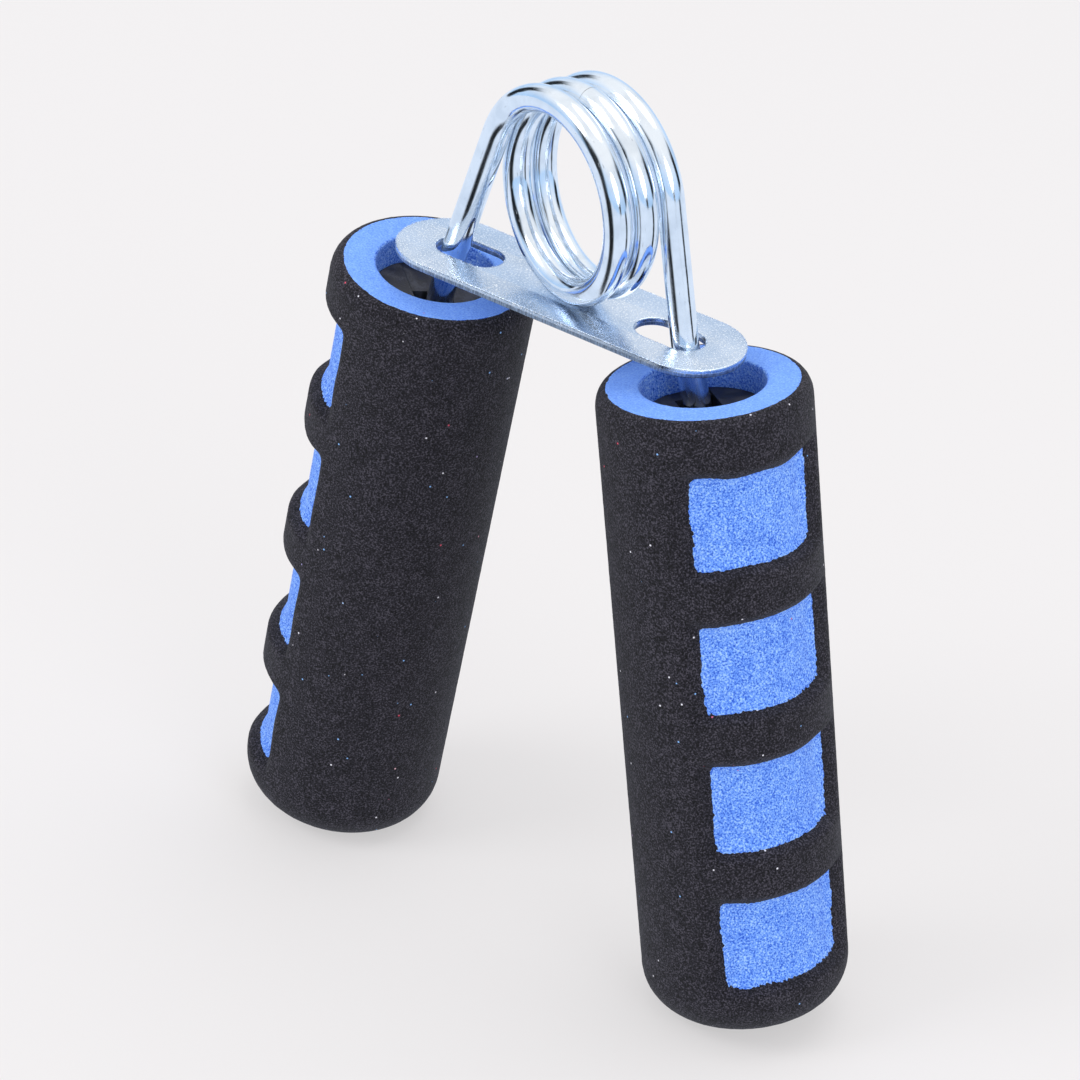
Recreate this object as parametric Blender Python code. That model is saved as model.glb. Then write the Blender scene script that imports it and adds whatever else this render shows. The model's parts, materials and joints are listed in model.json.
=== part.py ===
"""Hand grip strengthener: a torsion spring, a slotted bridge plate and two foam-sleeved handles.

The bridge plate lies along X, the coil stands on top of it, and the two handles splay out below.
The origin is on the floor, midway between the handles, with +Z up. Lengths are in metres.
"""

from math import acos, asin, atan2, cos, hypot, pi, radians, sin, tan

import bmesh
import bpy
from mathutils import Matrix, Vector

MM = 0.001

# Clearance left between two pieces that touch on the real object.
GAP = 0.3 * MM

# Spring: one steel wire, wound into a coil whose two ends run down as straight legs.
WIRE_RADIUS = 2.25 * MM
WIRE_SIDES = 12
COIL_RADIUS = 15.8 * MM
COIL_PITCH = 5.1 * MM
COIL_WHOLE_TURNS = 2
COIL_STEPS_PER_TURN = 26
COIL_SKEW = radians(-19.5)
COIL_STAND = 0.6 * MM
COIL_STUB = 0.6 * MM
COIL_SHIFT = 1.5 * MM
KINK_REACH = 21.7 * MM
KINK_BEND_RADIUS = 9 * MM

# Bridge plate: a flat strip with round ends and one slot for each leg. It sits a little askew.
PLATE_LENGTH = 65.2 * MM
PLATE_WIDTH = 18.4 * MM
PLATE_THICKNESS = 1.4 * MM
PLATE_TILT = radians(2.1)
SLOT_INNER = 13.6 * MM
SLOT_OUTER = 26.0 * MM
SLOT_WIDTH = 7.0 * MM
ROUND_END_STEPS = 14

# Handles: their axes lean outwards and cross the plate's level inside its round ends.
HANDLE_LENGTH = 111 * MM
HANDLE_RADIUS = 17.2 * MM
HANDLE_TILT = radians(9.2)
HANDLE_TOP_OFFSET = 27.8 * MM
HANDLE_TOP_DROP = 5.6 * MM
HANDLE_SIDE_OFFSET = 1.9 * MM
TOP_EDGE_HEIGHT = 3.2 * MM
BOTTOM_EDGE_RADIUS = 8 * MM
EDGE_STEPS = 5
TURNED_STEPS = 40

# Foam sleeve: a black cover over a blue liner, which is bored for the plastic core.
COVER_THICKNESS = 1.7 * MM
BORE_RADIUS = 10 * MM
BORE_DEPTH = 105 * MM

# Finger scoops: ground through the cover into the liner, and turned towards the front.
SCOOP_COUNT = 4
SCOOP_FIRST = 8.3 * MM
SCOOP_PITCH = 25 * MM
SCOOP_RIM_RADIUS = HANDLE_RADIUS + 1 * MM
SCOOP_FLOOR_RADIUS = 14.3 * MM
SCOOP_SECTION = [
    (SCOOP_RIM_RADIUS, -1 * MM),
    (SCOOP_FLOOR_RADIUS, 2.9 * MM),
    (SCOOP_FLOOR_RADIUS, 15.1 * MM),
    (SCOOP_FLOOR_RADIUS + 1 * MM, 17.5 * MM),
    (SCOOP_RIM_RADIUS, 19.0 * MM),
]
SCOOP_FLOOR_HALF_ANGLE = radians(40.2)
SCOOP_RIM_HALF_ANGLE = radians(55.2)
SCOOP_TURN = radians(23.2)
SCOOP_STEPS = 12

# Core: two plastic half shells that clamp the leg between them.
CORE_RECESS = 5 * MM
CORE_SEAM_TURN = radians(-38)
CORE_STEPS = 20
WIRE_OFFSET = 3 * MM
CHANNEL_END = 99 * MM
TRENCH_WIDTH = 6.4 * MM
TRENCH_DEPTH = 9 * MM

# Levels and angles that follow from the sizes above.
LOWEST_POINT = HANDLE_TOP_DROP + max(
    (HANDLE_RADIUS - BOTTOM_EDGE_RADIUS * (1 - cos(pi / 2 * step / EDGE_STEPS))) * sin(HANDLE_TILT)
    + (HANDLE_LENGTH - BOTTOM_EDGE_RADIUS * (1 - sin(pi / 2 * step / EDGE_STEPS))) * cos(HANDLE_TILT)
    for step in range(EDGE_STEPS + 1)
)
PLATE_TOP = LOWEST_POINT
COIL_HEIGHT = PLATE_TOP + COIL_STAND + WIRE_RADIUS + COIL_RADIUS
KINK_DROP = {
    side: COIL_HEIGHT - PLATE_TOP + PLATE_THICKNESS / 2 + side * KINK_REACH * tan(PLATE_TILT)
    for side in (-1, 1)
}
LEG_REACH = {side: KINK_REACH - side * COIL_SHIFT / cos(COIL_SKEW) for side in (-1, 1)}
LEG_LEAN = {
    side: atan2(reach, KINK_DROP[side]) + acos(COIL_RADIUS / hypot(reach, KINK_DROP[side])) - pi / 2
    for side, reach in LEG_REACH.items()
}
COIL_TURNS = COIL_WHOLE_TURNS + 0.5 - (LEG_LEAN[-1] + LEG_LEAN[1]) / (2 * pi)
COIL_HALF_WIDTH = COIL_PITCH * COIL_TURNS / 2
COIL_LEAD = COIL_PITCH / (2 * pi * COIL_RADIUS)
COIL_CENTRE = Vector((COIL_SHIFT, COIL_SHIFT * tan(COIL_SKEW), COIL_HEIGHT))

METAL = {"colour": (0.72, 0.78, 0.86), "roughness": 0.18, "metallic": 1.0}
BLACK_FOAM = {"colour": (0.02, 0.02, 0.025), "roughness": 0.95, "metallic": 0.0}
BLUE_FOAM = {"colour": (0.09, 0.27, 0.86), "roughness": 0.9, "metallic": 0.0}
BLACK_PLASTIC = {"colour": (0.015, 0.015, 0.018), "roughness": 0.5, "metallic": 0.0}


def clear_scene():
    """Remove every object of the startup scene."""
    for obj in list(bpy.data.objects):
        bpy.data.objects.remove(obj, do_unlink=True)


def make_material(name, finish):
    """Return a Principled material with the given colour, roughness and metallic value."""
    material = bpy.data.materials.new(name)
    material.use_nodes = True
    shader = material.node_tree.nodes["Principled BSDF"]
    shader.inputs["Base Color"].default_value = (*finish["colour"], 1)
    shader.inputs["Roughness"].default_value = finish["roughness"]
    shader.inputs["Metallic"].default_value = finish["metallic"]
    material.diffuse_color = (*finish["colour"], 1)
    return material


def make_object(name, bm, finish=None, parent=None):
    """Turn a bmesh into a named object, with a material if it is a piece and not a cutter."""
    bmesh.ops.recalc_face_normals(bm, faces=bm.faces)
    mesh = bpy.data.meshes.new(name)
    bm.to_mesh(mesh)
    bm.free()
    obj = bpy.data.objects.new(name, mesh)
    bpy.context.scene.collection.objects.link(obj)
    obj.parent = parent
    if finish:
        mesh.shade_smooth()
        mesh.set_sharp_from_angle(angle=radians(35))
        mesh.materials.append(make_material(name, finish))
    else:
        obj.hide_render = True
        obj.display_type = "WIRE"
    return obj


def make_empty(name, matrix, parent=None):
    """Return an empty that carries pieces, placed by its matrix relative to its parent."""
    empty = bpy.data.objects.new(name, None)
    bpy.context.scene.collection.objects.link(empty)
    empty.empty_display_size = 10 * MM
    empty.parent = parent
    empty.matrix_local = matrix
    return empty


def cut(obj, cutter):
    """Subtract the cutter from the object with a live Boolean."""
    boolean = obj.modifiers.new("cut_" + cutter.name, "BOOLEAN")
    boolean.operation = "DIFFERENCE"
    boolean.solver = "EXACT"
    boolean.object = cutter


def prism(outline, low, high):
    """Return a bmesh of a flat (x, y) outline extruded from low to high along Z."""
    bm = bmesh.new()
    face = bm.faces.new([bm.verts.new((x, y, low)) for x, y in outline])
    extruded = bmesh.ops.extrude_face_region(bm, geom=[face])
    raised = [item for item in extruded["geom"] if isinstance(item, bmesh.types.BMVert)]
    bmesh.ops.translate(bm, verts=raised, vec=(0, 0, high - low))
    return bm


def arc(centre, radius, start, end, steps):
    """Return points along an arc in a plane, both ends included."""
    angles = [start + (end - start) * step / steps for step in range(steps + 1)]
    return [(centre[0] + radius * cos(a), centre[1] + radius * sin(a)) for a in angles]


def turned(outline, steps):
    """Return a bmesh of a closed (radius, height) outline turned once round Z."""
    bm = bmesh.new()
    rings = []
    for radius, height in outline:
        angles = [0] if radius == 0 else [2 * pi * step / steps for step in range(steps)]
        rings.append([bm.verts.new((radius * cos(a), radius * sin(a), height)) for a in angles])
    for ring, following in zip(rings, rings[1:] + rings[:1]):
        if len(ring) == len(following) == 1:
            continue
        for step in range(steps):
            ahead = (step + 1) % steps
            corners = [ring[step % len(ring)], ring[ahead % len(ring)]]
            corners += [following[ahead % len(following)], following[step % len(following)]]
            bm.faces.new(list(dict.fromkeys(corners)))
    return bm


def sweep(points, radius, sides):
    """Return a bmesh of a round wire along the points, closed with a flat cap at each end."""
    bm = bmesh.new()
    tangents = [(points[min(i + 1, len(points) - 1)] - points[max(i - 1, 0)]).normalized()
                for i in range(len(points))]
    side = tangents[0].orthogonal().normalized()
    rings = []
    for point, tangent in zip(points, tangents):
        side = (side - tangent * side.dot(tangent)).normalized()
        across = tangent.cross(side)
        turns = [2 * pi * k / sides for k in range(sides)]
        rings.append([bm.verts.new(point + radius * (cos(a) * side + sin(a) * across)) for a in turns])
    for ring, following in zip(rings, rings[1:]):
        for k in range(sides):
            ahead = (k + 1) % sides
            bm.faces.new((ring[k], ring[ahead], following[ahead], following[k]))
    bm.faces.new(rings[0])
    bm.faces.new(rings[-1])
    return bm


def rounded_corner(before, corner, after, radius, steps=4):
    """Return the points of a bend of the given radius that rounds off one corner of a path."""
    inward = (before - corner).normalized()
    outward = (after - corner).normalized()
    half_turn = (pi - inward.angle(outward)) / 2
    reach = radius * tan(half_turn)
    centre = corner + (inward + outward).normalized() * radius / cos(half_turn)
    start = corner + inward * reach - centre
    axis = start.cross(corner + outward * reach - centre)
    return [centre + Matrix.Rotation(2 * half_turn * k / steps, 3, axis) @ start
            for k in range(steps + 1)]


def coil_point(angle, across):
    """Return a point of the coil's centre line, at an angle round its axis and a place along it."""
    flat = Vector((COIL_RADIUS * cos(angle), across, COIL_RADIUS * sin(angle)))
    return COIL_CENTRE + Matrix.Rotation(COIL_SKEW, 3, "Z") @ flat


def leg_line(side):
    """Return where a straight upper leg leaves the coil, and where it kinks at the plate."""
    lean = LEG_LEAN[side]
    across = side * COIL_HALF_WIDTH
    top = coil_point(lean if side > 0 else pi - lean, across)
    drift = COIL_LEAD * (KINK_DROP[side] + COIL_RADIUS * sin(lean)) / cos(lean)
    kink_in_coil = Vector((side * LEG_REACH[side], across + side * drift, -KINK_DROP[side]))
    return top, COIL_CENTRE + Matrix.Rotation(COIL_SKEW, 3, "Z") @ kink_in_coil


def make_spring_coil():
    """Wind the coil from the top of the left leg, at the front, to the right leg, at the back."""
    steps = round(COIL_STEPS_PER_TURN * COIL_TURNS)
    first = pi - LEG_LEAN[-1]
    last = LEG_LEAN[1] - 2 * pi * COIL_WHOLE_TURNS
    stubs = {}
    for side in (-1, 1):
        top, kink = leg_line(side)
        stubs[side] = top + (kink - top).normalized() * COIL_STUB
    points = [stubs[-1]]
    for step in range(steps + 1):
        share = step / steps
        across = COIL_HALF_WIDTH * (2 * share - 1)
        points.append(coil_point(first + (last - first) * share, across))
    points.append(stubs[1])
    return make_object("spring_coil", sweep(points, WIRE_RADIUS, WIRE_SIDES), METAL)


def handle_matrix(side):
    """Return a handle's frame: origin at the centre of its top ring, -Z down along its axis."""
    top = (side * HANDLE_TOP_OFFSET, -side * HANDLE_SIDE_OFFSET, PLATE_TOP - HANDLE_TOP_DROP)
    return Matrix.Translation(top) @ Matrix.Rotation(-side * HANDLE_TILT, 4, "Y")


def wire_place(side):
    """Return where the leg runs inside a handle, in the (x, y) plane of the handle's frame."""
    return (-side * WIRE_OFFSET * cos(CORE_SEAM_TURN), -side * WIRE_OFFSET * sin(CORE_SEAM_TURN))


def make_spring_leg(name, side, pivot):
    """Make one leg: straight off the coil's helix, kinked at the plate, then down the core."""
    top, kink = leg_line(side)
    frame = handle_matrix(side)
    entry = frame @ Vector((*wire_place(side), -CORE_RECESS - TRENCH_DEPTH / 3))
    end = frame @ Vector((*wire_place(side), -CHANNEL_END + 1 * MM))
    start = top + (kink - top).normalized() * (COIL_STUB + GAP)
    path = [start]
    path += rounded_corner(start, kink, entry, KINK_BEND_RADIUS)
    path += rounded_corner(kink, entry, end, KINK_BEND_RADIUS)
    path.append(end)
    points = [point - COIL_CENTRE for point in path]
    return make_object(name, sweep(points, WIRE_RADIUS, WIRE_SIDES), METAL, pivot)


def stadium(length, width, centre_x=0):
    """Return the outline of a strip with round ends."""
    radius = width / 2
    reach = length / 2 - radius
    right = arc((centre_x + reach, 0), radius, -pi / 2, pi / 2, ROUND_END_STEPS)
    left = arc((centre_x - reach, 0), radius, pi / 2, 3 * pi / 2, ROUND_END_STEPS)
    return right + left


def make_bridge_plate():
    """Make the slotted plate that the coil sits on, tilted about its own middle."""
    middle = Vector((0, 0, PLATE_TOP - PLATE_THICKNESS / 2))
    frame = make_empty("plate_frame", Matrix.Translation(middle) @ Matrix.Rotation(PLATE_TILT, 4, "Y"))
    reach = PLATE_THICKNESS / 2
    bm = prism(stadium(PLATE_LENGTH, PLATE_WIDTH), -reach, reach)
    plate = make_object("bridge_plate", bm, METAL, frame)
    slot_length = SLOT_OUTER - SLOT_INNER
    slot_centre = (SLOT_OUTER + SLOT_INNER) / 2
    for name, side in (("left", -1), ("right", 1)):
        outline = stadium(slot_length, SLOT_WIDTH, side * slot_centre)
        bm = prism(outline, -reach - 1 * MM, reach + 1 * MM)
        cut(plate, make_object(name + "_slot_cutter", bm, parent=frame))
    return plate


def make_foam_cover(name, frame):
    """Make the black outer layer: a thin cup that wraps the sides and the bottom of the sleeve."""
    inner = HANDLE_RADIUS - COVER_THICKNESS + GAP / 2
    wall = HANDLE_RADIUS - inner
    bend_height = BOTTOM_EDGE_RADIUS - HANDLE_LENGTH
    bend_radius = HANDLE_RADIUS - BOTTOM_EDGE_RADIUS
    top_edge = arc((inner, -wall), wall, pi / 2, 0, EDGE_STEPS)
    outline = [(radius, height * TOP_EDGE_HEIGHT / wall) for radius, height in top_edge]
    outline += arc((bend_radius, bend_height), BOTTOM_EDGE_RADIUS, 0, -pi / 2, EDGE_STEPS)
    outline += [(0, -HANDLE_LENGTH), (0, wall - HANDLE_LENGTH)]
    outline += arc((bend_radius, bend_height), BOTTOM_EDGE_RADIUS - wall, -pi / 2, 0, EDGE_STEPS)
    return make_object(name, turned(outline, TURNED_STEPS), BLACK_FOAM, frame)


def make_foam_liner(name, frame):
    """Make the blue inner layer: a thick cup with a blind bore for the core."""
    outer = HANDLE_RADIUS - COVER_THICKNESS - GAP / 2
    bend_height = BOTTOM_EDGE_RADIUS - HANDLE_LENGTH
    bend_radius = HANDLE_RADIUS - BOTTOM_EDGE_RADIUS
    layer = HANDLE_RADIUS - outer
    outline = [(BORE_RADIUS, 0), (outer, 0)]
    outline += arc((bend_radius, bend_height), BOTTOM_EDGE_RADIUS - layer, 0, -pi / 2, EDGE_STEPS)
    outline += [(0, layer - HANDLE_LENGTH), (0, -BORE_DEPTH), (BORE_RADIUS, -BORE_DEPTH)]
    return make_object(name, turned(outline, TURNED_STEPS), BLUE_FOAM, frame)


def make_scoop_cutter(name, side, frame):
    """Make the finger scoops as wedges of a ring whose walls all slope outwards."""
    middle = -SCOOP_TURN if side > 0 else pi + SCOOP_TURN
    spread = (SCOOP_RIM_HALF_ANGLE - SCOOP_FLOOR_HALF_ANGLE) / (SCOOP_RIM_RADIUS - SCOOP_FLOOR_RADIUS)
    bm = bmesh.new()
    for scoop in range(SCOOP_COUNT):
        start = SCOOP_FIRST + scoop * SCOOP_PITCH
        rows = []
        for step in range(SCOOP_STEPS + 1):
            row = []
            for radius, down in SCOOP_SECTION:
                half_angle = SCOOP_FLOOR_HALF_ANGLE + spread * (radius - SCOOP_FLOOR_RADIUS)
                angle = middle + half_angle * (2 * step / SCOOP_STEPS - 1)
                row.append(bm.verts.new((radius * cos(angle), radius * sin(angle), -start - down)))
            rows.append(row)
        for row, following in zip(rows, rows[1:]):
            for k in range(len(row)):
                ahead = (k + 1) % len(row)
                bm.faces.new((row[k], row[ahead], following[ahead], following[k]))
        bm.faces.new(rows[0])
        bm.faces.new(rows[-1])
    bmesh.ops.triangulate(bm, faces=bm.faces)
    return make_object(name, bm, parent=frame)


def make_core_half(name, facing, frame):
    """Make one half shell of a core. The seam plane holds the core's axis and the leg."""
    radius = BORE_RADIUS - GAP
    seam = GAP / 2
    start = asin(seam / radius)
    outline = arc((0, 0), radius, start, pi - start, CORE_STEPS)
    turn = CORE_SEAM_TURN + (0 if facing > 0 else pi)
    turned_outline = [(x * cos(turn) - y * sin(turn), x * sin(turn) + y * cos(turn)) for x, y in outline]
    bm = prism(turned_outline, GAP - BORE_DEPTH, -CORE_RECESS)
    return make_object(name, bm, BLACK_PLASTIC, frame)


def make_channel_cutter(name, side, frame):
    """Make the round channel that the two halves of a core leave for the leg."""
    outline = arc(wire_place(side), WIRE_RADIUS + GAP, 0, 2 * pi, WIRE_SIDES)[:-1]
    return make_object(name, prism(outline, -CHANNEL_END, 0), parent=frame)


def make_trench_cutter(name, frame):
    """Make the wide slot across the top of a core, where the leg bends into line."""
    half_width = TRENCH_WIDTH / 2
    corners = [(-HANDLE_RADIUS, -half_width), (HANDLE_RADIUS, -half_width)]
    corners += [(HANDLE_RADIUS, half_width), (-HANDLE_RADIUS, half_width)]
    bm = prism(corners, -CORE_RECESS - TRENCH_DEPTH, 0)
    bmesh.ops.rotate(bm, verts=bm.verts, matrix=Matrix.Rotation(CORE_SEAM_TURN, 3, "Z"))
    return make_object(name, bm, parent=frame)


def make_handle(name, side):
    """Make one handle with its leg, all of it carried by an empty on the coil's axis."""
    pivot = make_empty(name + "_pivot", Matrix.Translation(COIL_CENTRE))
    frame_in_pivot = Matrix.Translation(-COIL_CENTRE) @ handle_matrix(side)
    frame = make_empty(name + "_handle_frame", frame_in_pivot, pivot)
    make_spring_leg(name + "_spring_leg", side, pivot)
    channel = make_channel_cutter(name + "_channel_cutter", side, frame)
    trench = make_trench_cutter(name + "_trench_cutter", frame)
    for half, facing in (("rear", 1), ("front", -1)):
        core = make_core_half(f"{name}_core_{half}", facing, frame)
        cut(core, channel)
        cut(core, trench)
    scoops = make_scoop_cutter(name + "_scoop_cutter", side, frame)
    cut(make_foam_liner(name + "_foam_liner", frame), scoops)
    cut(make_foam_cover(name + "_foam_cover", frame), scoops)


def main():
    """Build the whole grip strengthener at rest, with its handles open."""
    clear_scene()
    make_spring_coil()
    make_bridge_plate()
    make_handle("left", -1)
    make_handle("right", 1)


main()
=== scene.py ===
"""Looks of a hand grip strengthener: zinc-plated spring and plate, black and blue foam handles.

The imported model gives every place: joints give the coil's centre, mounts give the handle ends and
their lean, and node boxes give the plate. Lengths are in metres, angles in radians, +Z is up.
"""

import json
import logging
import math
from dataclasses import dataclass, field
from enum import Enum
from typing import Any, Sequence

import bmesh
import bpy
import numpy as np
from mathutils import Matrix, Vector


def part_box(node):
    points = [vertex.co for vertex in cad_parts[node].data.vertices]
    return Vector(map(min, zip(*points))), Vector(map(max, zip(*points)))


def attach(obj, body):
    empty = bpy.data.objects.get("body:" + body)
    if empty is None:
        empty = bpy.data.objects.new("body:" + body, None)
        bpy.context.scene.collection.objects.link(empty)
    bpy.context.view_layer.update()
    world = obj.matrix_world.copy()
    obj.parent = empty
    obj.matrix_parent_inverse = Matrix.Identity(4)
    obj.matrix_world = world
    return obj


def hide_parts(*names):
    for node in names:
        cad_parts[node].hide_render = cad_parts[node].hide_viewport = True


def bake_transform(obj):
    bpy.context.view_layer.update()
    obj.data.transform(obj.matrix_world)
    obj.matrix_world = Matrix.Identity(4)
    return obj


MM = 0.001
TAU = 2 * math.pi

logging.basicConfig(level=logging.INFO, format="%(message)s")
LOG = logging.getLogger("grip")

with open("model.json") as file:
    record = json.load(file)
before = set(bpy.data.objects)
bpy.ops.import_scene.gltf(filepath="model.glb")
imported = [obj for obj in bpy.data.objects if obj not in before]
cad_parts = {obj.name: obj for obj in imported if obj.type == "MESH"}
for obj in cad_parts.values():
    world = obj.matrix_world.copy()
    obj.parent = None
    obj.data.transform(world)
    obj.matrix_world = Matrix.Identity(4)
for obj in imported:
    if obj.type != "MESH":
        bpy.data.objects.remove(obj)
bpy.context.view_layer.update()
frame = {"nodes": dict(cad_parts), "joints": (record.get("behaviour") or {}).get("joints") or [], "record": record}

Colour = tuple[float, float, float]
Gaps = tuple[tuple[float, float], ...]
Tree, Node, Socket = bpy.types.NodeTree, bpy.types.Node, bpy.types.NodeSocket
Object, Mesh, Material = bpy.types.Object, bpy.types.Mesh, bpy.types.Material

SEAM_TURN = math.radians(-38)
WAVE_COUNT = 36
WAVE_RADIUS = 16 * MM


class Side(Enum):
    """Which of the two handles a piece belongs to, with its sign along X."""

    LEFT = -1
    RIGHT = 1

    @property
    def word(self) -> str:
        """Return the side's name as used in node and body names."""
        return self.name.lower()

    @property
    def body(self) -> str:
        """Return the name of the body that this side's handle moves with."""
        return f"{self.word}_handle"


class Slot(Enum):
    """The record's material slots."""

    WIRE = "spring_steel"
    PLATE = "zinc_plate"
    PLASTIC = "core_plastic"
    BLACK_FOAM = "foam_black"
    BLUE_FOAM = "foam_blue"


# ---------------------------------------------------------------- node and mesh helpers


class NodeBuilder:
    """Adds nodes to a shader or geometry tree and links them in one go."""

    def __init__(self, tree: Tree) -> None:
        """Start building in a tree.

        Args:
            tree: the node tree that the nodes go into.
        """
        self.tree = tree

    def add(self, kind: str, inputs: dict[Any, Any] | None = None, **settings: Any) -> Node:
        """Add one node.

        Args:
            kind: the node's type identifier.
            inputs: socket name or number to a value, or to the socket that feeds it.
            settings: attributes of the node itself.

        Returns:
            The new node.
        """
        node = self.tree.nodes.new(kind)
        for name, value in settings.items():
            setattr(node, name, value)
        for key, value in (inputs or {}).items():
            socket = node.inputs[key]
            if isinstance(value, Socket):
                self.tree.links.new(value, socket)
            else:
                socket.default_value = value
        return node

    def maths(self, operation: str, first: Any, second: Any = 0.0, third: Any = 0.0) -> Socket:
        """Add a Math node.

        Args:
            operation: the node's operation, such as MULTIPLY.
            first: first value or socket.
            second: second value or socket.
            third: third value or socket.

        Returns:
            The node's output.
        """
        node = self.add("ShaderNodeMath", {0: first, 1: second, 2: third}, operation=operation)
        return node.outputs[0]

    def spread(self, value: Any, low: float, high: float, to_low: float, to_high: float) -> Socket:
        """Map a range smoothly onto another and clamp it there.

        Args:
            value: the socket to map.
            low: start of the range read.
            high: end of the range read.
            to_low: result at low.
            to_high: result at high.

        Returns:
            The mapped value.
        """
        node = self.add(
            "ShaderNodeMapRange",
            {"Value": value, "From Min": low, "From Max": high, "To Min": to_low, "To Max": to_high},
            interpolation_type="SMOOTHSTEP",
        )
        return node.outputs["Result"]

    def noise(self, vector: Any, size: float, detail: float = 2.0, roughness: float = 0.5) -> Socket:
        """Add a noise whose grains are about the given size.

        Args:
            vector: the coordinates, in metres.
            size: grain size in metres.
            detail: octaves.
            roughness: share of the finer octaves.

        Returns:
            The noise's value, from 0 to 1.
        """
        values = {"Vector": vector, "Scale": 1 / size, "Detail": detail, "Roughness": roughness}
        return self.add("ShaderNodeTexNoise", values).outputs["Fac"]

    def mix(self, factor: Any, first: Any, second: Any, blend: str = "MIX") -> Socket:
        """Mix two colours.

        Args:
            factor: share of the second colour.
            first: colour or socket.
            second: colour or socket.
            blend: the node's blend type.

        Returns:
            The mixed colour.
        """
        node = self.add("ShaderNodeMix", data_type="RGBA", blend_type=blend)
        for socket, value in ((node.inputs[0], factor), (node.inputs[6], first), (node.inputs[7], second)):
            if isinstance(value, Socket):
                self.tree.links.new(value, socket)
            elif isinstance(value, tuple):
                socket.default_value = (*value, 1.0)
            else:
                socket.default_value = value
        return node.outputs[2]


def new_material(name: str) -> tuple[Material, NodeBuilder, Node]:
    """Make an empty Principled material.

    Args:
        name: the material's name.

    Returns:
        The material, a builder for its tree and its Principled shader.
    """
    material = bpy.data.materials.new(name)
    material.use_nodes = True
    return material, NodeBuilder(material.node_tree), material.node_tree.nodes["Principled BSDF"]


def feed(
    nodes: NodeBuilder,
    shader: Node,
    colour: Socket,
    roughness: Socket,
    height: Socket,
    depth: float,
    strength: float,
) -> None:
    """Feed a Principled shader its colour, roughness and bump.

    Args:
        nodes: the material tree's builder.
        shader: the Principled shader.
        colour: the base colour.
        roughness: the roughness.
        height: the bump's height, from 0 to about 1.
        depth: how deep the bump's full height is, in metres.
        strength: the bump's strength.
    """
    bump = nodes.add("ShaderNodeBump", {"Height": height, "Distance": depth, "Strength": strength})
    for source, name in ((colour, "Base Color"), (roughness, "Roughness"), (bump.outputs[0], "Normal")):
        nodes.tree.links.new(source, shader.inputs[name])


def add_object(name: str, mesh: Mesh) -> Object:
    """Put a mesh into the scene as an object at the origin."""
    obj = bpy.data.objects.new(name, mesh)
    bpy.context.scene.collection.objects.link(obj)
    return obj


def mesh_from(name: str, points: np.ndarray, faces: Sequence[Sequence[int]]) -> Mesh:
    """Make a smooth-shaded mesh with its normals outwards.

    Args:
        name: the mesh's name.
        points: an array of n points.
        faces: the corner numbers of each face.

    Returns:
        The mesh.
    """
    mesh = bpy.data.meshes.new(name)
    mesh.from_pydata([tuple(point) for point in points.tolist()], [], faces)
    bm = bmesh.new()
    bm.from_mesh(mesh)
    bmesh.ops.recalc_face_normals(bm, faces=bm.faces)
    bm.to_mesh(mesh)
    bm.free()
    mesh.shade_smooth()
    return mesh


def smooth_min(first: np.ndarray, second: np.ndarray | float, softness: float) -> np.ndarray:
    """Return the smaller of two fields, with the crease between them rounded."""
    share = np.clip(0.5 + 0.5 * (second - first) / softness, 0, 1)
    return second * (1 - share) + first * share - softness * share * (1 - share)


def smooth_max(first: np.ndarray, second: np.ndarray | float, softness: float) -> np.ndarray:
    """Return the larger of two fields, with the crease between them rounded."""
    return -smooth_min(-first, -np.asarray(second), softness)


def wavy(along: np.ndarray, around: np.ndarray, size: float, seed: int) -> np.ndarray:
    """Return a smooth random field on a sleeve that closes on itself round the handle.

    Args:
        along: heights of the points.
        around: angles of the points.
        size: size of the field's waves, in metres.
        seed: seed of the field.

    Returns:
        Values of about -1 to 1.
    """
    rng = np.random.default_rng(seed)
    total = np.zeros_like(along)
    for _ in range(WAVE_COUNT):
        turns = rng.integers(0, max(2, int(TAU * WAVE_RADIUS / size)))
        rate = rng.uniform(-1, 1) * TAU / size
        total += np.cos(turns * around + rate * along + rng.uniform(0, TAU))
    return total / math.sqrt(WAVE_COUNT)


# ---------------------------------------------------------------- finishes


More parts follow.
